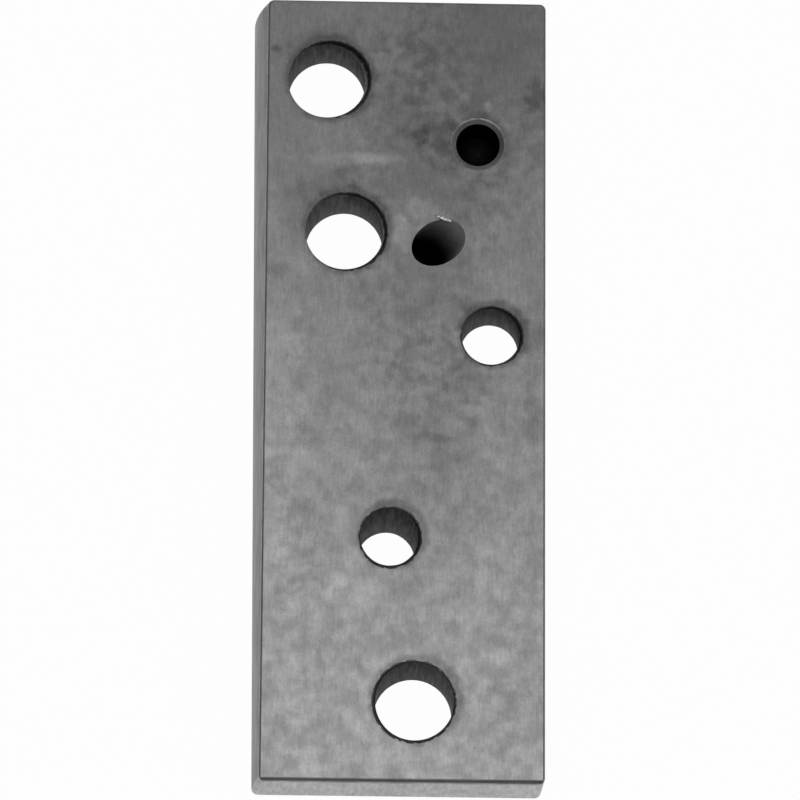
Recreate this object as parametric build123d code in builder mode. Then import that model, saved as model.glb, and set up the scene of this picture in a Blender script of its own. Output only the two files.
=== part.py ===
"""Machined mounting block: a cut length of flat steel bar, drilled for five bolts and two pins.

The block lies on its back. +Z leaves the ground front face, +Y runs along the bar to its far end
and +X points to the right flank. The origin is the centre of the bounding box's bottom.

Every hole is placed as on a shop drawing: so far in from the square right flank, and so far up
from the near end. Sizes are in millimetres and angles in degrees.
"""

import os
from dataclasses import dataclass
from math import cos, radians, sin, tan

from build123d import *

# Bar stock.
bar_length = 100.0
bar_width = 35.0  # across the front face
bar_thickness = 10.0
corner_radius = 0.8  # the four corners, seen from the front
front_edge_radius = 0.25  # filed round the front face
near_edge_break = 0.5  # the front edge of the near end is filed harder, at 45 degrees
back_edge_radius = 0.5  # as rolled

# The left flank is the bar's own rolled edge. It swells from the front face to the back, where it
# stands upright, and more at the far end than at the near one.
flank_swell_far = 1.65
flank_swell_near = 0.8

# Bolt holes, right through, drilled and countersunk by hand on both faces.
large_bore = 9.7
small_bore = 7.2
bolt_countersink = 0.4  # how much wider its mouth is than the bore, all round
pilot_share = 0.75  # a countersink's pilot, as a share of the bore that it runs inside


@dataclass
class BoltHole:
    """A bolt hole. Offsets are along +X and +Y."""

    bore: float
    mouth: tuple[float, float]  # in from the right flank, up from the near end
    run_out: tuple[float, float]  # how far off square its foot comes out
    countersink_offset: tuple[float, float]  # how far off centre the front countersink sits


bolt_holes = [
    BoltHole(large_bore, (27.55, 89.45), (0.16, 0.44), (0.47, 0.26)),
    BoltHole(large_bore, (25.19, 69.75), (0.20, 0.24), (0.33, 0.08)),
    BoltHole(small_bore, (6.82, 56.50), (0.24, 0.38), (0.18, 0.07)),
    BoltHole(small_bore, (19.23, 30.83), (-0.17, -0.98), (0.08, -0.12)),
    BoltHole(large_bore, (16.00, 10.20), (0.03, -0.30), (-0.07, -0.08)),
]

# Pin holes, blind, both made with one drill. The second is drilled at a steep slant.
pin_bore = 5.5
drill_point_angle = 118.0
pin_hole_place = (8.5, 81.4)
pin_hole_depth = 6.5  # to the shoulder of the drill point
pin_countersink = 0.7
countersink_angle = 90.0  # of every countersink, pins and bolts
slant_hole_place = (13.4, 68.5)
slant_hole_lean = 40.0
slant_hole_heading = 213.0  # where it goes below its mouth, from +X, turning towards +Y
slant_hole_depth = 6.0  # along its own axis, from the mouth's centre to the shoulder

back_allowance = 1.0  # the bar is drawn so much thicker until its back is cut flat

# The two edges that everything is measured from, and the end that faces the second.
right_flank = (bar_width + flank_swell_far) / 2
near_end = -bar_length / 2
far_end = near_end + bar_length


def on_face(place, shift=(0, 0), height=bar_thickness):
    """A place on the drawing, shifted along +X and +Y, as a point at a height above the back."""
    inward, upward = place
    return Vector(right_flank - inward + shift[0], near_end + upward + shift[1], height)


def slant_plane(mouth, lean, heading):
    """The plane across a slanted hole's mouth. Its normal leaves the hole along the hole's axis."""
    sideways = sin(radians(lean))
    out_of_hole = (
        -sideways * cos(radians(heading)),
        -sideways * sin(radians(heading)),
        cos(radians(lean)),
    )
    return Plane(origin=mouth, z_dir=out_of_hole)


def bar_section(swell):
    """The bar's outline across its length, with the swell of its rolled left flank."""
    left_front = right_flank - bar_width
    left_back = left_front - swell
    with BuildSketch() as section:
        with BuildLine():
            Polyline(
                (left_front, bar_thickness),
                (right_flank, bar_thickness),
                (right_flank, -back_allowance),
                (left_back, -back_allowance),
                (left_back, 0),
            )
            Bezier((left_back, 0), (left_back, bar_thickness / 2), (left_front, bar_thickness))
        make_face()
    return section.sketch


def drill(diameter, depth, clearance):
    """The space that a twist drill clears, with its mouth at the origin and its axis on Z."""
    radius = diameter / 2
    point_length = radius / tan(radians(drill_point_angle / 2))
    with BuildPart() as cutter:
        with BuildSketch(Plane.XZ):
            with BuildLine():
                Polyline(
                    (0, clearance),
                    (radius, clearance),
                    (radius, -depth),
                    (0, -depth - point_length),
                    close=True,
                )
            make_face()
        revolve(axis=Axis.Z)
    return cutter.part


# A slanted drill starts above the face, clear of it all round.
slant_run_in = pin_bore * tan(radians(slant_hole_lean))
square_drill = drill(pin_bore, pin_hole_depth, pin_bore)
slant_drill = drill(pin_bore, slant_hole_depth, slant_run_in)

with BuildPart() as mounting_block:
    # The bar, ruled from its section at one end to its section at the other.
    for end, swell in ((near_end, flank_swell_near), (far_end, flank_swell_far)):
        with BuildSketch(Plane(origin=(0, end, 0), x_dir=(1, 0, 0), z_dir=(0, -1, 0))):
            add(bar_section(swell))
    loft(ruled=True)
    split(bisect_by=Plane.XY, keep=Keep.TOP)

    # Corners and edges.
    corner_edges = mounting_block.edges().filter_by(
        lambda edge: edge.bounding_box().size.Z > bar_thickness / 2
    )
    fillet(corner_edges, corner_radius)
    back = mounting_block.faces().sort_by(Axis.Z)[0]
    fillet(back.edges(), back_edge_radius)
    front = mounting_block.faces().sort_by(Axis.Z)[-1]
    fillet(front.edges(), front_edge_radius)
    with BuildSketch(Plane.YZ):
        Polygon(
            (near_end, bar_thickness),
            (near_end, bar_thickness - near_edge_break),
            (near_end + near_edge_break, bar_thickness),
            align=None,
        )
    extrude(amount=bar_width, both=True, mode=Mode.SUBTRACT)

    # Bolt holes.
    for hole in bolt_holes:
        radius = hole.bore / 2
        mouth = on_face(hole.mouth)
        foot = on_face(hole.mouth, hole.run_out, height=0)
        with Locations(Plane(origin=(mouth + foot) / 2, z_dir=mouth - foot)):
            Cylinder(radius, 2 * bar_thickness, mode=Mode.SUBTRACT)
        with Locations(
            Plane(origin=on_face(hole.mouth, hole.countersink_offset)),
            Plane(origin=foot, z_dir=(0, 0, -1)),
        ):
            CounterSinkHole(
                pilot_share * radius,
                radius + bolt_countersink,
                depth=bar_thickness / 2,
                counter_sink_angle=countersink_angle,
            )

    # The pin holes.
    with Locations(on_face(pin_hole_place)):
        add(square_drill, mode=Mode.SUBTRACT)
        CounterSinkHole(
            pin_bore / 2,
            pin_bore / 2 + pin_countersink,
            depth=pin_hole_depth,
            counter_sink_angle=countersink_angle,
        )
    with Locations(slant_plane(on_face(slant_hole_place), slant_hole_lean, slant_hole_heading)):
        add(slant_drill, mode=Mode.SUBTRACT)

mounting_block.part.label = "mounting_block"

os.makedirs("parts", exist_ok=True)
export_step(mounting_block.part, "parts/mounting_block.step")
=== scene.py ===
"""Machined mounting block: a drilled length of flat steel bar, lying on its back on a pale table.

Everything is in metres, in the frame of the packed part: +Z leaves the ground front face, +Y runs
along the bar to its far end and +X points to the right flank.
"""

from collections import namedtuple
from math import cos, radians, sin, tan

import bmesh
import bpy
from bpy.props import FloatProperty, FloatVectorProperty, PointerProperty
from bpy.types import Operator, Panel, PropertyGroup
from mathutils import Matrix, Vector


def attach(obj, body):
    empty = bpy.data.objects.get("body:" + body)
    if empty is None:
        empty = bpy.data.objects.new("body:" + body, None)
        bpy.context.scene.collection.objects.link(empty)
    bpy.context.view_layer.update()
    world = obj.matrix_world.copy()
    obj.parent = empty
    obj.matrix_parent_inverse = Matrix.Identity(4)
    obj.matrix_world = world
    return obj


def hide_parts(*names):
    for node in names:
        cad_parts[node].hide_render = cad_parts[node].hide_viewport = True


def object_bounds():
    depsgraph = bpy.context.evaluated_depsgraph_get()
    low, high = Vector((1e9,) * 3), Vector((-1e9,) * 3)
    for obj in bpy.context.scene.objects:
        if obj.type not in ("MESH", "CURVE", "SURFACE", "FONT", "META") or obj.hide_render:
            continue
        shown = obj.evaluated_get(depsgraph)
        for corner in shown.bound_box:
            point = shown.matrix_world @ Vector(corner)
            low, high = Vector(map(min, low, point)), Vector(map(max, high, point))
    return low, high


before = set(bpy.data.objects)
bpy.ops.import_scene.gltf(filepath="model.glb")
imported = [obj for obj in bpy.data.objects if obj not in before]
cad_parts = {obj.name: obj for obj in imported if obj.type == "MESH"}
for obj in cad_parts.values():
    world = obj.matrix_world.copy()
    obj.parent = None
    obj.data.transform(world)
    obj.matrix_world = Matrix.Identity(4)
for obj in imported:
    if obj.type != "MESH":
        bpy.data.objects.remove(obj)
cad_low, cad_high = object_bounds()

bl_info = {
    "name": "Machined mounting block",
    "version": (1, 0, 0),
    "blender": (4, 5, 0),
    "location": "3D View > Sidebar > Mounting Block",
    "description": "Builds a drilled steel mounting block and the small studio it is shown in",
    "category": "Object",
}

MM = 0.001
BAR_NODE = "mounting_block"

# The bar's box, from the packed part.
RIGHT_FLANK, FAR_END, FRONT = cad_high
NEAR_END = cad_low.y
THICKNESS = FRONT - cad_low.z

BoltHole = namedtuple("BoltHole", "bore mouth run_out offset")
BoltHole.__doc__ = """A hole right through: which bore, its mouth's place, how far off square its
foot comes out, and how far off centre its front countersink sits, in millimetres."""

# A place is so far in from the right flank and so far up from the near end.
BOLT_HOLES = {
    "far": BoltHole("large_bore", (27.55, 89.45), (0.16, 0.44), (0.47, 0.26)),
    "upper": BoltHole("large_bore", (25.19, 69.75), (0.20, 0.24), (0.33, 0.08)),
    "square": BoltHole("small_bore", (6.82, 56.50), (0.24, 0.38), (0.18, 0.07)),
    "wandering": BoltHole("small_bore", (19.23, 30.83), (-0.17, -0.98), (0.08, -0.12)),
    "near": BoltHole("large_bore", (16.00, 10.20), (0.03, -0.30), (-0.07, -0.08)),
}
PIN_HOLE = (8.5, 81.4)
SLANT_HOLE = (13.4, 68.5)

ROUND = 192  # sides of a turned surface

# Dark halos round the mouths, painted shade: each mouth's place, its width over the rim in
# millimetres, and how many times as bright the steel is beside it.
PAINTED_RIM_SHADE = [
    ((27.30, 89.55), 10.5, 0.62),
    ((25.00, 69.80), 10.5, 0.62),
    ((6.70, 56.50), 8.0, 0.62),
    ((19.20, 30.80), 8.0, 0.62),
    ((16.00, 10.20), 10.5, 0.62),
    ((8.60, 81.45), 6.5, 0.72),
]
SHADE_LEAN = (0.25, 0.25)  # which way the painted shade leans, towards the far end and the right flank, in millimetres
RIM_SHADE_REACH = 1.0 * MM
RIM_SHADE_DEPTH = 0.6 * MM  # how far down a bolt hole's mouth fades to painted near-black shade
SLANT_SHADE_DEPTH = 4.2 * MM  # how far down the slanted hole fades to painted black shade

RIM_STEEPEST = 65  # degrees, where a bolt hole's worn rim runs into its bore
PIN_RIM_STEEPEST = 35
FILE_STROKES = (15, 30, 45, 60, 75)  # degrees, of the flat strokes that round the near edge
STRIPS = 40  # along the bar, so that the left flank can twist
FLANK_STEPS = 8  # up the left flank, along its swell

# The burr: its middle from the bar's middle, half lengths, turn in degrees and raggedness.
BURR_PLACE = Vector((5.55 * MM, 21.65 * MM, FRONT - 0.03 * MM))
BURR_REACH = (1.15 * MM, 0.34 * MM, 0.27 * MM)
BURR_TURN = -22
BURR_RAGGED = 0.06 * MM
BURR_GRAIN = 0.35 * MM

# The studio: where the soft box hangs, what the camera aims at, which way the light wall lies, and
# the heights, in degrees, between which the walls turn into the zenith.
BOX_PLACE = (0.0, -0.09, 0.90)
AIM = Vector((0.416 * MM, -0.579 * MM, 5.0 * MM))
LIGHT_WALL = (0.5, 0.87, 0)
WALL_TOP, ZENITH_FOOT = 25, 65

# Tones on the front face, in millimetres: middle, half lengths, turn in degrees, and how many times
# as bright the steel is at the middle. The broad ones were fitted by measure to one light, so they
# are partly dirt and partly painted light and shade: mostly darker towards the far end and lighter
# towards the near end and the left edge. The small ones are stains and rubs, with a few painted
# shades marked.
STAINS_AND_PAINTED_LIGHT = [
    ((3.0, 24.0), (11.0, 30.0), 0, 0.76),  # broad tones, partly painted light and shade
    ((4.0, -12.0), (10.0, 26.0), 0, 0.86),
    ((12.0, 44.0), (15.0, 24.0), 0, 0.78),
    ((-15.5, 6.0), (4.5, 24.0), 0, 1.16),
    ((-2.0, -38.0), (24.0, 20.0), 0, 1.12),
    ((2.0, -22.0), (24.0, 8.0), 0, 1.10),
    ((-15.5, -8.0), (6.0, 24.0), 0, 1.10),
    ((9.0, 3.0), (3.5, 9.0), 0, 0.84),
    ((1.4, -4.3), (2.0, 1.4), 0, 0.78),  # smudges
    ((4.6, -6.6), (3.4, 1.1), -10, 0.78),
    ((2.8, 32.4), (1.4, 1.8), 0, 0.74),
    # painted shade beside the square pin hole, towards the left flank
    ((5.0, 31.8), (3.6, 4.0), 0, 0.82),
    ((-15.7, 43.5), (0.9, 0.8), 0, 0.60),
    ((17.4, 37.6), (2.6, 3.2), 0, 0.66),
    ((-15.2, 14.4), (2.2, 2.2), 0, 0.74),
    ((-3.0, 44.2), (2.0, 1.6), 0, 0.84),
    # painted shade on the far side of the far and the upper bolt holes
    ((-10.5, 44.8), (6.5, 2.6), 25, 0.80),
    ((-9.5, 25.6), (7.0, 2.8), 25, 0.78),
    ((16.8, -3.0), (1.4, 9.0), 0, 0.84),
    # fitted like the broad tones: partly a stain and partly painted shade
    ((16.2, 7.0), (4.0, 4.5), 0, 0.74),
    ((-6.0, 29.2), (9.0, 1.1), 0, 1.22),  # bright rubs
    ((-2.4, 29.4), (4.0, 1.2), 0, 1.35),
    ((2.4, 22.4), (4.4, 2.8), -15, 1.45),
    ((0.2, 19.6), (2.4, 3.6), 0, 1.35),
    ((11.1, 36.3), (0.7, 0.9), 0, 1.45),
]


def linear(hex_colour):
    """An sRGB hex colour as linear red, green and blue."""
    values = [int(hex_colour[i : i + 2], 16) / 255 for i in (1, 3, 5)]
    return [v / 12.92 if v <= 0.04045 else ((v + 0.055) / 1.055) ** 2.4 for v in values]


def length(name, description, default):
    """A length that a user may change."""
    return FloatProperty(
        name=name,
        description=description,
        default=default,
        min=0.0,
        precision=5,
        subtype="DISTANCE",
        unit="LENGTH",
    )


def angle(name, description, degrees):
    """An angle that a user may change."""
    return FloatProperty(
        name=name,
        description=description,
        default=radians(degrees),
        subtype="ANGLE",
        unit="ROTATION",
    )


def colour(name, description, hex_colour):
    """A colour that a user may change."""
    return FloatVectorProperty(
        name=name,
        description=description,
        default=linear(hex_colour),
        size=3,
        min=0.0,
        max=1.0,
        subtype="COLOR",
    )


def level(name, description, default, top=1.0):
    """A plain number that a user may change."""
    return FloatProperty(
        name=name, description=description, default=default, min=0.0, max=top, subtype="FACTOR"
    )


class BlockSizes(PropertyGroup):
    """Sizes of the bar and its holes."""

    bar_width: length("Bar width", "Width of the front face", 35 * MM)
    swell_far: length("Swell, far end", "How far the left flank stands out at its back", 1.65 * MM)
    swell_near: length("Swell, near end", "How far the left flank stands out at its back", 0.8 * MM)
    corner_radius: length("Corner radius", "Radius of the four upright corners", 0.8 * MM)
    front_edge: length("Front edges", "Radius filed round the front face", 0.25 * MM)
    back_edge: length("Back edges", "Radius rolled round the back face", 0.5 * MM)
    near_edge: length("Near edge", "Radius filed on the near end's front edge", 0.65 * MM)
    large_bore: length("Large bore", "Diameter of the three large bolt holes", 9.7 * MM)
    small_bore: length("Small bore", "Diameter of the two small bolt holes", 7.2 * MM)
    countersink: length("Countersink", "How much wider a bolt hole's mouth is, all round", 0.4 * MM)
    pin_bore: length("Pin bore", "Diameter of the two pin holes", 5.5 * MM)
    pin_depth: length("Pin depth", "Depth of the square pin hole to its shoulder", 6.5 * MM)
    pin_countersink: length("Pin countersink", "Depth of its countersink", 0.7 * MM)
    slant_lean: angle("Slant lean", "How far the slanted pin hole is off square", 40.0)
    slant_heading: angle("Slant heading", "Where it heads below its mouth", 213.0)
    slant_depth: length("Slant depth", "Depth of the slanted hole along its axis", 6.0 * MM)
    drill_point: angle("Drill point", "Angle of the drill's point", 118.0)
    rim_roll: length("Rim roll", "Radius worn round the bolt holes' mouths", 0.55 * MM)
    pin_roll: length("Pin rim roll", "Radius worn round the square pin hole's mouth", 0.45 * MM)
    ragged: length("Raggedness", "How far a torn countersink strays", 0.05 * MM)
    ragged_grain: length("Ragged grain", "Size of the tears along a countersink", 0.7 * MM)


class SteelColours(PropertyGroup):
    """Colours of the block's surfaces."""

    ground: colour("Ground face", "Dull ground steel of the two faces", "#a8a8a8")
    ground_dark: colour("Clouded face", "The same steel where it has clouded", "#949494")
    # The flanks' darkness is partly painted shade.
    flank: colour("Flanks", "Sheared and cold-drawn flanks", "#727272")
    end: colour("Ends", "Milled ends", "#a6a6a6")
    edge: colour("Filed edges", "Filed edges that have gone dull", "#949494")
    # The bores, rims and pin holes are painted dark and near black for the shade in the holes, and
    # the slanted mouth is painted bright for the light that falls on it.
    bore: colour("Bores", "Drilled walls, painted dark for their shade", "#5c5c5c")
    bore_glance: colour("Bores, glancing", "The same walls along the line of sight", "#b4b4b4")
    rim: colour("Rims", "Worn rims of the bolt holes", "#5a5a5a")
    rim_oil: colour("Oil under rims", "Dried oil caught under the rims", "#343434")
    pin_rim: colour("Pin hole rim", "Dished mouth of the square pin hole", "#9c9c9c")
    pin: colour("Pin holes", "Blind bores, black with oil inside", "#161616")
    ramp_painted_light: colour("Slanted mouth", "Where the slanted drill ran in, painted bright for the light on it", "#f0f0f0")
    burr: colour("Burrs", "Fresh bright burr", "#e6e6e6")


class StudioSettings(PropertyGroup):
    """The table, the light and the camera."""

    floor: colour("Floor", "Pale table top", "#f2f2f2")
    floor_white: level("Floor whiteness", "Share of plain white that the table shows", 0.98)
    zenith: level("Zenith", "Brightness of the studio overhead", 0.22, 4.0)
    horizon_dark: level("Dark wall", "Brightness of the wall behind the camera", 0.12, 4.0)
    horizon_light: level("Light wall", "Brightness of the wall that faces it", 0.42, 4.0)
    box_size: length("Soft box", "Side of the soft box", 600 * MM)
    box_power: FloatProperty(
        name="Soft box power",
        description="Power of the soft box overhead",
        default=1.55,
        min=0.0,
        unit="POWER",
    )
    distance: length("Camera distance", "From the aim to the camera", 726.4 * MM)
    tilt: angle("Camera tilt", "How far the camera leans towards the near end", 14.09)
    swing: angle("Camera swing", "How far it leans towards the left flank", 1.80)
    roll: angle("Camera roll", "Turn of the picture", 0.412)
    lens: FloatProperty(
        name="Lens",
        description="Focal length of the camera",
        default=261.66,
        min=1.0,
        unit="CAMERA",
    )


def on_front(place, shift=(0, 0)):
    """A place on the drawing, in millimetres, as a point on the front face."""
    return Vector(
        (
            RIGHT_FLANK - place[0] * MM + shift[0] * MM,
            NEAR_END + place[1] * MM + shift[1] * MM,
            FRONT,
        )
    )


def leaning(lean, heading):
    """A turn that leans the Z axis so that, going down, it heads that way."""
    return Matrix.Rotation(heading, 4, "Z") @ Matrix.Rotation(-lean, 4, "Y") @ Matrix.Rotation(
        -heading, 4, "Z"
    )


# --- Mesh helpers -------------------------------------------------------------------------------


def add_primitive(add, name, **settings):
    """Adds a primitive alone in the selection, applies its place and names it."""
    if bpy.context.mode != "OBJECT":
        bpy.ops.object.mode_set(mode="OBJECT")
    bpy.ops.object.select_all(action="DESELECT")
    add(**settings)
    piece = bpy.context.object
    piece.name = piece.data.name = name
    bpy.ops.object.transform_apply(location=True, rotation=True, scale=True)
    return piece


def only(piece):
    """Makes a piece the active and only selected object."""
    bpy.ops.object.select_all(action="DESELECT")
    piece.select_set(True)
    bpy.context.view_layer.objects.active = piece


def pick(piece, kind, test):
    """In edit mode, selects the vertices, edges or faces that pass a test, and nothing else."""
    bpy.ops.mesh.select_mode(type={"verts": "VERT", "edges": "EDGE", "faces": "FACE"}[kind])
    bpy.ops.mesh.select_all(action="DESELECT")
    mesh = bmesh.from_edit_mesh(piece.data)
    found = [part for part in getattr(mesh, kind) if test(part)]
    for part in found:
        part.select_set(True)
    mesh.select_flush_mode()
    bmesh.update_edit_mesh(piece.data)
    if not found:
        raise RuntimeError(f"nothing to select on {piece.name}")


def apply_modifier(piece, kind, **settings):
    """Adds a modifier with its settings and applies it."""
    only(piece)
    modifier = piece.modifiers.new(kind.title(), kind)
    for key, value in settings.items():
        setattr(modifier, key, value)
    bpy.ops.object.modifier_apply(modifier=modifier.name)


def place_piece(piece, matrix):
    """Moves a finished piece's mesh, so that its object stays at the origin."""
    only(piece)
    piece.matrix_world = matrix
    bpy.ops.object.transform_apply(location=True, rotation=True, scale=True)


def tear(piece, strength, grain):
    """Strays a piece's surface from its true shape, as torn metal does."""
    texture = bpy.data.textures.new(piece.name + "_tear", "CLOUDS")
    texture.noise_scale = grain
    texture.noise_depth = 3
    apply_modifier(
        piece,
        "DISPLACE",
        texture=texture,
        texture_coords="GLOBAL",
        direction="NORMAL",
        strength=2 * strength,
        mid_level=0.5,
    )
    apply_modifier(piece, "TRIANGULATE")  # the solver wants flat faces


# --- Materials ----------------------------------------------------------------------------------


def add_node(tree, kind, inputs=None, **settings):
    """Adds a node with its settings. An input is a value, or an output to link from."""
    node = tree.nodes.new(kind)
    for key, value in settings.items():
        setattr(node, key, value)
    for name, value in (inputs or {}).items():
        socket = node.inputs[name]
        if isinstance(value, bpy.types.NodeSocket):
            tree.links.new(value, socket)
        else:
            socket.default_value = value
    return node


def new_material(name):
    """An empty node material."""
    material = bpy.data.materials.new(name)
    material.use_nodes = True
    material.node_tree.nodes.clear()
    return material, material.node_tree


def noise(tree, place, size, detail=2.0, stretch=(1, 1, 1), roughness=0.5):
    """Noise with blotches of one size, from 0 to 1. The stretch lengthens it along an axis."""
    mapped = add_node(
        tree, "ShaderNodeMapping", {"Vector": place, "Scale": [1 / (size * s) for s in stretch]}
    )
    pattern = add_node(
        tree,
        "ShaderNodeTexNoise",
        {"Vector": mapped.outputs[0], "Scale": 1.0, "Detail": detail, "Roughness": roughness},
    )
    return pattern.outputs["Fac"]


def ranged(tree, value, low, high, to_low=0.0, to_high=1.0, smooth=True):
    """Spreads a range of a value over another range."""
    node = add_node(
        tree,
        "ShaderNodeMapRange",
        {"Value": value, "From Min": low, "From Max": high, "To Min": to_low, "To Max": to_high},
        interpolation_type="SMOOTHSTEP" if smooth else "LINEAR",
    )
    return node.outputs[0]


def maths(tree, operation, first, second):
    """One sum on two values."""
    return add_node(tree, "ShaderNodeMath", {0: first, 1: second}, operation=operation).outputs[0]


def mixed(tree, amount, first, second, blend="MIX"):
    """Two colours mixed."""
    node = add_node(
        tree, "ShaderNodeMix", {"Factor": amount}, data_type="RGBA", blend_type=blend
    )
    for socket, value in ((node.inputs[6], first), (node.inputs[7], second)):
        if isinstance(value, bpy.types.NodeSocket):
            tree.links.new(value, socket)
        else:
            socket.default_value = (*value, 1) if len(value) == 3 else value
    return node.outputs[2]


def patch(tree, place, centre, reach, turn=0.0, ragged=0.35, core=0.25):
    """A soft-edged spot on the front face: 1 inside its core, 0 outside its reach."""
    moved = add_node(
        tree,
        "ShaderNodeMapping",
        {
            "Vector": place,
            "Location": (*centre, FRONT),
            "Rotation": (0, 0, radians(turn)),
            "Scale": (reach[0], reach[1], 2 * MM),
        },
        vector_type="TEXTURE",
    )
    away = add_node(tree, "ShaderNodeVectorMath", {0: moved.outputs[0]}, operation="LENGTH")
    edge = noise(tree, place, 1.6 * MM, 3.0)
    stray = ranged(tree, edge, 0.2, 0.8, -ragged, ragged)
    strayed = maths(tree, "ADD", away.outputs["Value"], stray)
    return ranged(tree, strayed, 1.0, core)


def shaded(tree, base, tone):
    """A colour made lighter or darker by a tone round 1."""
    grey = add_node(tree, "ShaderNodeCombineColor", {0: tone, 1: tone, 2: tone}).outputs[0]
    return mixed(tree, 1.0, base, grey, "MULTIPLY")


def finish_metal(tree, base, rough, height, relief, glance=(1, 1, 1)):
    """Closes a steel material: bare metal with its colour, roughness and relief."""
    bump = add_node(
        tree, "ShaderNodeBump", {"Height": height, "Strength": 1.0, "Distance": relief}
    )
    shader = add_node(
        tree,
        "ShaderNodeBsdfPrincipled",
        {
            "Base Color": base,
            "Roughness": rough,
            "Normal": bump.outputs[0],
            "Metallic": 1.0,
            "Specular Tint": (*glance, 1),
        },
    )
    add_node(tree, "ShaderNodeOutputMaterial", {"Surface": shader.outputs[0]})


def ground_steel(colours):
    """Ground mild steel, dulled by handling: cloudy grey with a fine grain, stains and rubs."""
    material, tree = new_material("ground_mild_steel")
    place = add_node(tree, "ShaderNodeTexCoord").outputs["Object"]
    clouds = noise(tree, place, 6 * MM, 4.0, roughness=0.6)
    blotches = noise(tree, place, 1.8 * MM, 3.0)
    # Real grinding marks are some hundredths of a millimetre wide: drawn coarser, so as to show.
    lay = noise(tree, place, 0.3 * MM, 2.0, (1, 5, 1))
    grain = noise(tree, place, 0.16 * MM, 1.0)
    broad = maths(tree, "MULTIPLY", clouds, 0.6)
    tone = maths(tree, "ADD", broad, maths(tree, "MULTIPLY", blotches, 0.4))
    base = mixed(tree, ranged(tree, tone, 0.26, 0.74), colours.ground_dark, colours.ground)
    for centre, reach, turn, shade in STAINS_AND_PAINTED_LIGHT:
        spot = patch(tree, place, [c * MM for c in centre], [r * MM for r in reach], turn)
        base = shaded(tree, base, ranged(tree, spot, 0, 1, 1, shade, smooth=False))
    # Painted shade in and round each mouth, leaning towards the far end and the right flank.
    for hole, bore, shade in PAINTED_RIM_SHADE:
        middle = on_front(hole, SHADE_LEAN)
        rim = bore * MM / 2
        reach = rim + RIM_SHADE_REACH
        ring = patch(tree, place, middle.xy, (reach, reach), ragged=0.05, core=rim / reach)
        base = shaded(tree, base, ranged(tree, ring, 0, 1, 1, shade, smooth=False))
    half_lay = maths(tree, "MULTIPLY", lay, 0.5)
    fine = maths(tree, "ADD", half_lay, maths(tree, "MULTIPLY", grain, 0.5))
    base = shaded(tree, base, ranged(tree, fine, 0.3, 0.7, 0.83, 1.17, smooth=False))
    rough = ranged(tree, blotches, 0.3, 0.7, 0.40, 0.32)
    finish_metal(tree, base, rough, fine, 0.008 * MM)
    return material


def plain_steel(
    name, base, rough, stretch, relief, size=0.5 * MM, glance=(1, 1, 1), deep=None
):
    """A worked steel surface with marks that run one way. It may turn another colour by a depth."""
    material, tree = new_material(name)
    place = add_node(tree, "ShaderNodeTexCoord").outputs["Object"]
    clouds = noise(tree, place, 4 * MM, 3.0)
    marks = noise(tree, place, size, 3.0, stretch)
    tone = ranged(tree, maths(tree, "ADD", clouds, marks), 0.7, 1.3, 0.82, 1.15, smooth=False)
    if deep:
        below, depth = deep
        height = add_node(tree, "ShaderNodeSeparateXYZ", {0: place}).outputs["Z"]
        base = mixed(tree, ranged(tree, height, FRONT - depth, FRONT), below, base)
    base = shaded(tree, base, tone)
    roughness = ranged(tree, marks, 0.3, 0.7, rough + 0.06, rough - 0.06)
    finish_metal(tree, base, roughness, marks, relief, glance)
    return material


# --- Pieces -------------------------------------------------------------------------------------


def sawn_bar(sizes):
    """The bar before it is drilled: a box whose left flank swells out towards the back."""
    left = RIGHT_FLANK - sizes.bar_width
    bar = add_primitive(
        bpy.ops.mesh.primitive_cube_add,
        "block_body",
        size=1,
        location=((left + RIGHT_FLANK) / 2, (NEAR_END + FAR_END) / 2, FRONT - THICKNESS / 2),
        scale=(sizes.bar_width, FAR_END - NEAR_END, THICKNESS),
    )
    bpy.ops.object.mode_set(mode="EDIT")
    pick(
        bar,
        "edges",
        lambda e: all(v.co.x < left + MM for v in e.verts)
        and abs(e.verts[0].co.z - e.verts[1].co.z) > THICKNESS / 2,
    )
    bpy.ops.mesh.subdivide(number_cuts=FLANK_STEPS - 1)
    for step in range(FLANK_STEPS):
        height = step / FLANK_STEPS
        for is_far, swell in ((True, sizes.swell_far), (False, sizes.swell_near)):
            pick(
                bar,
                "verts",
                lambda v: v.co.x < left + MM
                and abs(v.co.z - FRONT + THICKNESS * (1 - height)) < THICKNESS / FLANK_STEPS / 4
                and (v.co.y > 0) == is_far,
            )
            bpy.ops.transform.translate(value=(-swell * (1 - height**2), 0, 0))
    pick(bar, "edges", lambda e: abs(e.verts[0].co.y - e.verts[1].co.y) > THICKNESS)
    bpy.ops.mesh.subdivide(number_cuts=STRIPS - 1)
    ends = (NEAR_END, FAR_END)
    pick(
        bar,
        "edges",
        lambda e: abs(e.verts[0].co.y - e.verts[1].co.y) < MM / 100
        and min(abs(e.verts[0].co.y - end) for end in ends) < MM / 100
        and e.verts[0].co.z != e.verts[1].co.z,
    )
    bpy.ops.mesh.bevel(offset=sizes.corner_radius, segments=6, affect="EDGES")
    for radius, level_of_edge in ((sizes.back_edge, FRONT - THICKNESS), (sizes.front_edge, FRONT)):
        pick(
            bar,
            "edges",
            lambda e: all(abs(v.co.z - level_of_edge) < MM / 100 for v in e.verts)
            and sum(abs(f.normal.z) > 0.9 for f in e.link_faces) == 1,
        )
        bpy.ops.mesh.bevel(offset=radius, segments=4, affect="EDGES")
    bpy.ops.object.mode_set(mode="OBJECT")
    return bar


def file_cutter(radius, steepness):
    """The space that one flat stroke of a file clears along the near end's front edge."""
    side = THICKNESS
    cutter = add_primitive(
        bpy.ops.mesh.primitive_cube_add,
        "file_stroke",
        size=1,
        location=(0, 0, radius + side / 2),
        scale=(2 * (RIGHT_FLANK - cad_low.x), side, side),
    )
    tilted = Matrix.Rotation(steepness, 4, "X")
    place_piece(cutter, Matrix.Translation((0, NEAR_END + radius, FRONT - radius)) @ tilted)
    return cutter


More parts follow.
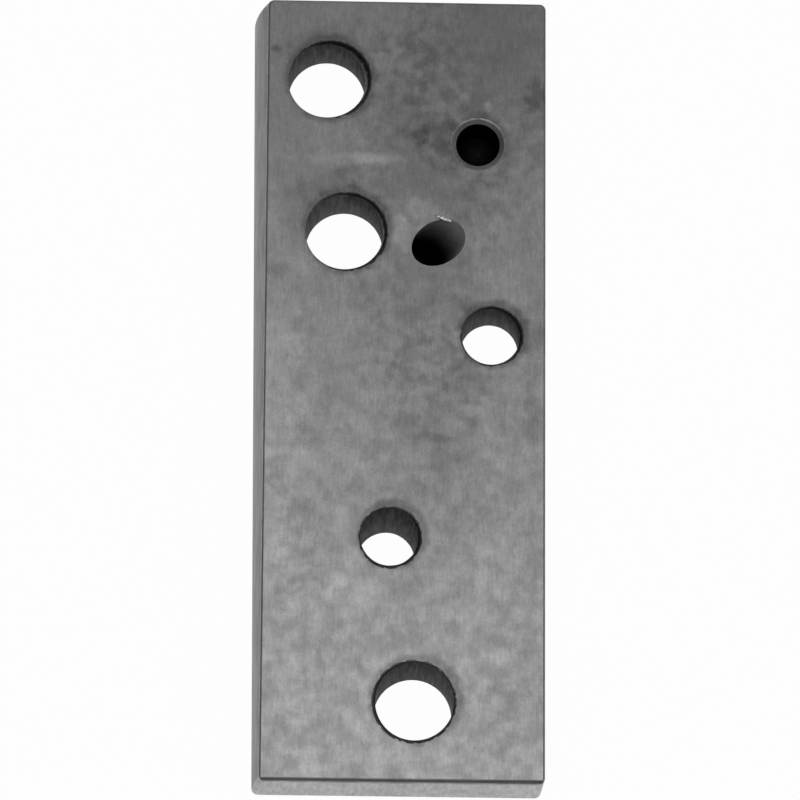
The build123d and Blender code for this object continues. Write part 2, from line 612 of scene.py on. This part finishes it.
def drill_cutter(name, diameter, low, high, point):
    """A twist drill's shape from one height to another, with a pointed end if it stops inside."""
    cutter = add_primitive(
        bpy.ops.mesh.primitive_cylinder_add,
        name,
        vertices=ROUND,
        radius=diameter / 2,
        depth=high - low,
        location=(0, 0, (low + high) / 2),
    )
    if point:
        bpy.ops.object.mode_set(mode="EDIT")
        pick(cutter, "faces", lambda f: f.normal.z < -0.9)
        bpy.ops.mesh.poke()
        pick(cutter, "verts", lambda v: v.co.xy.length < diameter / 100 and v.co.z < 0)
        bpy.ops.transform.translate(value=(0, 0, -diameter / 2 / tan(point / 2)))
        bpy.ops.object.mode_set(mode="OBJECT")
    return cutter


def rim_cutter(name, bore, width, roll, steepest, upward):
    """The space above a worn countersink. It rolls over from the face, at height 0, until it is as
    steep as it gets, in degrees, and runs on straight into the bore."""
    over = 0.5 * MM
    mouth = bore / 2 + width
    profile = [(mouth, over), (mouth, 0)]
    for turn in range(5, steepest + 1, 5):
        profile.append((mouth - roll * sin(radians(turn)), roll * (cos(radians(turn)) - 1)))
    run = mouth - bore * 0.4
    radius, height = profile[-1]
    profile.append((radius - run, height - run * tan(radians(steepest))))
    cutter = add_primitive(
        bpy.ops.mesh.primitive_circle_add,
        name,
        vertices=ROUND,
        radius=mouth,
        fill_type="TRIFAN",
        location=(0, 0, over),
    )
    bpy.ops.object.mode_set(mode="EDIT")
    bpy.ops.mesh.select_all(action="SELECT")
    for (before, high), (after, low) in zip(profile, profile[1:]):
        bpy.ops.mesh.extrude_region_move(TRANSFORM_OT_translate={"value": (0, 0, low - high)})
        share = after / before
        bpy.ops.transform.resize(value=(share, share, 1), center_override=(0, 0, low))
    bpy.ops.mesh.select_all(action="SELECT")
    bpy.ops.mesh.normals_make_consistent(inside=False)
    if not upward:
        bpy.ops.transform.resize(value=(1, 1, -1), center_override=(0, 0, 0))
        bpy.ops.mesh.flip_normals()
    bpy.ops.object.mode_set(mode="OBJECT")
    return cutter


class MOUNTINGBLOCK_OT_body(Operator):
    """Builds the drilled bar with its worn, slightly torn rims"""

    bl_idname = "mounting_block.body"
    bl_label = "Drilled bar"

    def execute(self, context):
        sizes = context.scene.mounting_block_sizes
        colours = context.scene.mounting_block_colours
        bar = sawn_bar(sizes)
        # The two faces are dull cloudy grey, the flanks darker, partly painted shade, with long drawn
        # streaks, the ends pale with upright mill marks, and the filed edges a plain soft grey
        # between them.
        surfaces = [
            ground_steel(colours),
            plain_steel("cold_drawn_steel", colours.flank, 0.48, (1, 10, 1), 0.01 * MM),
            plain_steel("milled_steel", colours.end, 0.48, (1, 1, 6), 0.015 * MM),
            plain_steel("filed_steel", colours.edge, 0.42, (3, 3, 3), 0.01 * MM),
        ]
        for surface in surfaces:
            bar.data.materials.append(surface)
        for face in bar.data.polygons:
            across, along, up = (abs(part) for part in face.normal)
            if up < 0.95:
                face.material_index = 1 if across > 0.95 else 2 if along > 0.95 else 3

        # The bolt holes' walls are painted dark for the shade inside them, and paler where they are
        # seen along their length. Their worn rims go from a grey painted dark to near black a little
        # way down, all painted shade. The square pin hole has a pale dished rim round a bore painted
        # black for its shade, and the slanted one is painted bright for the light where the drill ran
        # in, then fades to painted black shade deeper down.
        bore_steel = plain_steel(
            "drilled_steel", colours.bore, 0.6, (1, 1, 12), 0.02 * MM, 0.4 * MM, colours.bore_glance
        )
        under_rim = (colours.rim_oil, RIM_SHADE_DEPTH)
        into_painted_shade = (colours.pin, SLANT_SHADE_DEPTH)
        rim_steel = plain_steel(
            "worn_oily_steel", colours.rim, 0.38, (1, 1, 1), 0.01 * MM, deep=under_rim
        )
        pin_rim_steel = plain_steel("dished_steel", colours.pin_rim, 0.45, (1, 1, 1), 0.01 * MM)
        pin_steel = plain_steel("drilled_steel_full_of_oil", colours.pin, 0.5, (1, 1, 4), 0.01 * MM)
        slant_steel = plain_steel(
            "drilled_steel_run_in", colours.ramp_painted_light, 0.5, (1, 1, 1), 0.01 * MM, deep=into_painted_shade
        )
        cutters = []

        def keep(cutter, matrix, surface):
            place_piece(cutter, matrix)
            cutter.data.materials.append(surface)
            cutters.append(cutter)

        over = 1.5 * MM
        half = THICKNESS / 2 + over
        back = Vector((0, 0, -THICKNESS))
        for name, hole in BOLT_HOLES.items():
            bore = getattr(sizes, hole.bore)
            mouth = on_front(hole.mouth)
            foot = on_front(hole.mouth, hole.run_out) + back
            along_hole = (mouth - foot).to_track_quat("Z", "Y").to_matrix().to_4x4()
            cutter = drill_cutter("bore_" + name, bore, -half, half, 0)
            keep(cutter, Matrix.Translation((mouth + foot) / 2) @ along_hole, bore_steel)
            worn = (bore, sizes.countersink, sizes.rim_roll, RIM_STEEPEST)
            for upward, at in ((True, on_front(hole.mouth, hole.offset)), (False, foot)):
                cutter = rim_cutter(f"rim_{name}_{upward}", *worn, upward)
                keep(cutter, Matrix.Translation(at), rim_steel)
                tear(cutter, sizes.ragged, sizes.ragged_grain)

        # Pin holes.
        pin = on_front(PIN_HOLE)
        cutter = drill_cutter(
            "pin_square", sizes.pin_bore, -sizes.pin_depth, over, sizes.drill_point
        )
        keep(cutter, Matrix.Translation(pin), pin_steel)
        dished = (sizes.pin_bore, sizes.pin_countersink, sizes.pin_roll, PIN_RIM_STEEPEST)
        cutter = rim_cutter("rim_pin", *dished, True)
        keep(cutter, Matrix.Translation(pin), pin_rim_steel)
        tear(cutter, sizes.ragged / 2, sizes.ragged_grain)
        run_in = sizes.pin_bore * tan(sizes.slant_lean)
        cutter = drill_cutter(
            "pin_slant", sizes.pin_bore, -sizes.slant_depth, run_in, sizes.drill_point
        )
        slant = leaning(sizes.slant_lean, sizes.slant_heading)
        keep(cutter, Matrix.Translation(on_front(SLANT_HOLE)) @ slant, slant_steel)

        for steepness in FILE_STROKES:
            cutter = file_cutter(sizes.near_edge, radians(steepness))
            cutter.data.materials.append(surfaces[3])
            cutters.append(cutter)

        # The cuts are made a thousand times up, where the solver's tolerances are small beside
        # them, and all at once, because a second cut into torn metal leaves holes in it.
        place_piece(bar, Matrix.Scale(1 / MM, 4))
        apply_modifier(bar, "TRIANGULATE")
        tools = bpy.data.collections.new("cutters")
        for cutter in cutters:
            place_piece(cutter, Matrix.Scale(1 / MM, 4))
            tools.objects.link(cutter)
        apply_modifier(
            bar,
            "BOOLEAN",
            operation="DIFFERENCE",
            solver="EXACT",
            material_mode="TRANSFER",
            operand_type="COLLECTION",
            collection=tools,
        )
        for cutter in cutters:
            bpy.data.objects.remove(cutter)
        bpy.data.collections.remove(tools)
        place_piece(bar, Matrix.Scale(MM, 4))
        bpy.ops.object.shade_smooth_by_angle(angle=radians(30))
        bpy.ops.object.mode_set(mode="EDIT")
        pick(bar, "faces", lambda f: max(abs(part) for part in f.normal) > 0.9999)
        bpy.ops.mesh.faces_shade_flat()
        bpy.ops.object.mode_set(mode="OBJECT")
        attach(bar, "root")
        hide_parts(BAR_NODE)
        return {"FINISHED"}


class MOUNTINGBLOCK_OT_burr(Operator):
    """Builds the burr that the slanted drill threw up beside its mouth"""

    bl_idname = "mounting_block.burr"
    bl_label = "Burr"

    def execute(self, context):
        colours = context.scene.mounting_block_colours
        burr = add_primitive(
            bpy.ops.mesh.primitive_ico_sphere_add,
            "burr",
            subdivisions=5,
            radius=1,
            scale=BURR_REACH,
        )
        turned = Matrix.Rotation(radians(BURR_TURN), 4, "Z")
        place_piece(burr, Matrix.Translation(BURR_PLACE) @ turned)
        tear(burr, BURR_RAGGED, BURR_GRAIN)
        bpy.ops.object.shade_smooth()
        # Fresh torn steel, the brightest spot on the face.
        burr.data.materials.append(
            plain_steel("torn_bright_steel", colours.burr, 0.38, (1, 1, 1), 0.01 * MM, 0.3 * MM)
        )
        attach(burr, "root")
        return {"FINISHED"}


class MOUNTINGBLOCK_OT_studio(Operator):
    """Sets up the pale table, the soft light and the camera"""

    bl_idname = "mounting_block.studio"
    bl_label = "Studio"

    def execute(self, context):
        scene = context.scene
        studio = scene.mounting_block_studio
        scene.view_settings.view_transform = "Standard"

        # The table shows as plain white, to the eye and in the metal, and keeps a faint shadow.
        floor = add_primitive(
            bpy.ops.mesh.primitive_circle_add,
            "table_top",
            vertices=128,
            radius=3.0,
            fill_type="NGON",
        )
        material, tree = new_material("white_laminate")
        path = add_node(tree, "ShaderNodeLightPath").outputs
        seen = maths(tree, "MAXIMUM", path["Is Camera Ray"], path["Is Glossy Ray"])
        seen = maths(tree, "MAXIMUM", seen, path["Is Transmission Ray"])
        white = maths(tree, "MULTIPLY", seen, studio.floor_white)
        matt = add_node(
            tree,
            "ShaderNodeBsdfPrincipled",
            {"Base Color": (*studio.floor, 1), "Roughness": 0.9},
        )
        glow = add_node(tree, "ShaderNodeEmission", {"Strength": 1.0})
        shown = add_node(
            tree, "ShaderNodeMixShader", {0: white, 1: matt.outputs[0], 2: glow.outputs[0]}
        )
        add_node(tree, "ShaderNodeOutputMaterial", {"Surface": shown.outputs[0]})
        floor.data.materials.append(material)

        # The studio itself: brightest overhead, with one light wall and a dark one opposite. It is
        # dim: a matt card shows at about a third of its written level, and the colours allow for it.
        world = scene.world = bpy.data.worlds.new("studio")
        world.use_nodes = True
        tree = world.node_tree
        tree.nodes.clear()
        way = add_node(tree, "ShaderNodeTexCoord").outputs["Generated"]
        height = add_node(tree, "ShaderNodeSeparateXYZ", {0: way}).outputs["Z"]
        facing = add_node(
            tree, "ShaderNodeVectorMath", {0: way, 1: LIGHT_WALL}, operation="DOT_PRODUCT"
        ).outputs["Value"]
        wall = ranged(tree, facing, -0.3, 0.8, studio.horizon_dark, studio.horizon_light)
        low, high = sin(radians(WALL_TOP)), sin(radians(ZENITH_FOOT))
        bright = ranged(tree, height, low, high, wall, studio.zenith)
        sky = add_node(tree, "ShaderNodeBackground", {"Strength": bright})
        add_node(tree, "ShaderNodeOutputWorld", {"Surface": sky.outputs[0]})

        lamp = bpy.data.lights.new("soft_box", "AREA")
        lamp.shape = "SQUARE"
        lamp.size = studio.box_size
        lamp.energy = studio.box_power
        box = bpy.data.objects.new("soft_box", lamp)
        scene.collection.objects.link(box)
        box.location = BOX_PLACE  # above the camera, facing straight down

        # The camera looks almost straight down on the front face.
        back = Vector(
            (
                -sin(studio.swing),
                -sin(studio.tilt) * cos(studio.swing),
                cos(studio.tilt) * cos(studio.swing),
            )
        )
        right = Vector((0, 1, 0)).cross(back).normalized()
        up = back.cross(right)
        turned_right = right * cos(studio.roll) + up * sin(studio.roll)
        turned_up = up * cos(studio.roll) - right * sin(studio.roll)
        camera = bpy.data.objects.new("camera", bpy.data.cameras.new("camera"))
        scene.collection.objects.link(camera)
        turn = Matrix((turned_right, turned_up, back)).transposed().to_4x4()
        camera.matrix_world = Matrix.Translation(AIM + back * studio.distance) @ turn
        camera.data.sensor_width = 36.0
        camera.data.lens = studio.lens
        scene.camera = camera
        return {"FINISHED"}


class MOUNTINGBLOCK_PT_panel(Panel):
    """Lists the block's sizes, colours and builders"""

    bl_idname = "MOUNTINGBLOCK_PT_panel"
    bl_label = "Mounting Block"
    bl_space_type = "VIEW_3D"
    bl_region_type = "UI"
    bl_category = "Mounting Block"

    def draw(self, context):
        for group in GROUPS:
            settings = getattr(context.scene, group)
            column = self.layout.column(align=True)
            for name in settings.__annotations__:
                column.prop(settings, name)
        for operator in OPERATORS:
            self.layout.operator(operator.bl_idname)


GROUPS = {
    "mounting_block_sizes": BlockSizes,
    "mounting_block_colours": SteelColours,
    "mounting_block_studio": StudioSettings,
}
OPERATORS = [MOUNTINGBLOCK_OT_body, MOUNTINGBLOCK_OT_burr, MOUNTINGBLOCK_OT_studio]
CLASSES = [*GROUPS.values(), *OPERATORS, MOUNTINGBLOCK_PT_panel]


def register():
    for kind in CLASSES:
        bpy.utils.register_class(kind)
    for name, kind in GROUPS.items():
        setattr(bpy.types.Scene, name, PointerProperty(type=kind))


def unregister():
    for name in GROUPS:
        delattr(bpy.types.Scene, name)
    for kind in reversed(CLASSES):
        bpy.utils.unregister_class(kind)


def main():
    register()
    bpy.ops.mounting_block.body()
    bpy.ops.mounting_block.burr()
    bpy.ops.mounting_block.studio()


if __name__ == "__main__":
    main()
